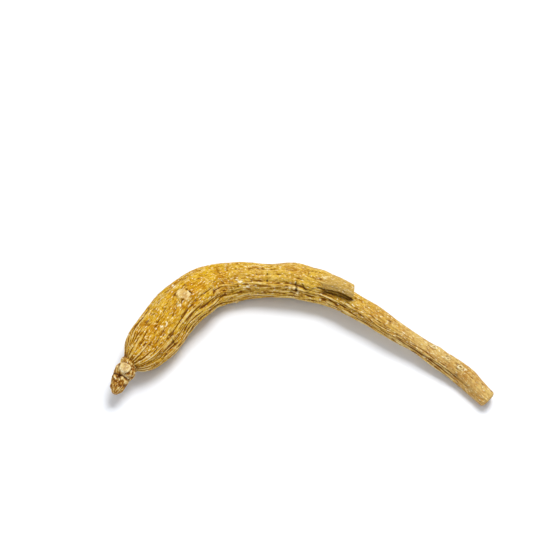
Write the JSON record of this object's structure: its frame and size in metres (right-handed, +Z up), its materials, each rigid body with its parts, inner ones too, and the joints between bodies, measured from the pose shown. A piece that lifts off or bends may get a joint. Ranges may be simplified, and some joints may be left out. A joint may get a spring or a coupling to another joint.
{
  "type": "ginseng root",
  "caption": "Dried ginseng root: stout curved body with long wrinkles, ringed neck with stem scars, a long tapering leg and a cut stump at the fork.",
  "frame": {"origin": "bottom centre of the bounding box, on the surface that the root lies on", "axes": "+Z up; +X along the longest extent, from the neck towards the cut end of the leg; +Y towards the crown of the arch"},
  "size_m": [0.1416, 0.0632, 0.02],
  "materials": {
    "root_skin": "matte, dry and wrinkled skin, golden tan with brown creases and pale ridges"
  },
  "bodies": {
    "root": {"ginseng_root": "root_skin"}
  },
  "joints": []
}
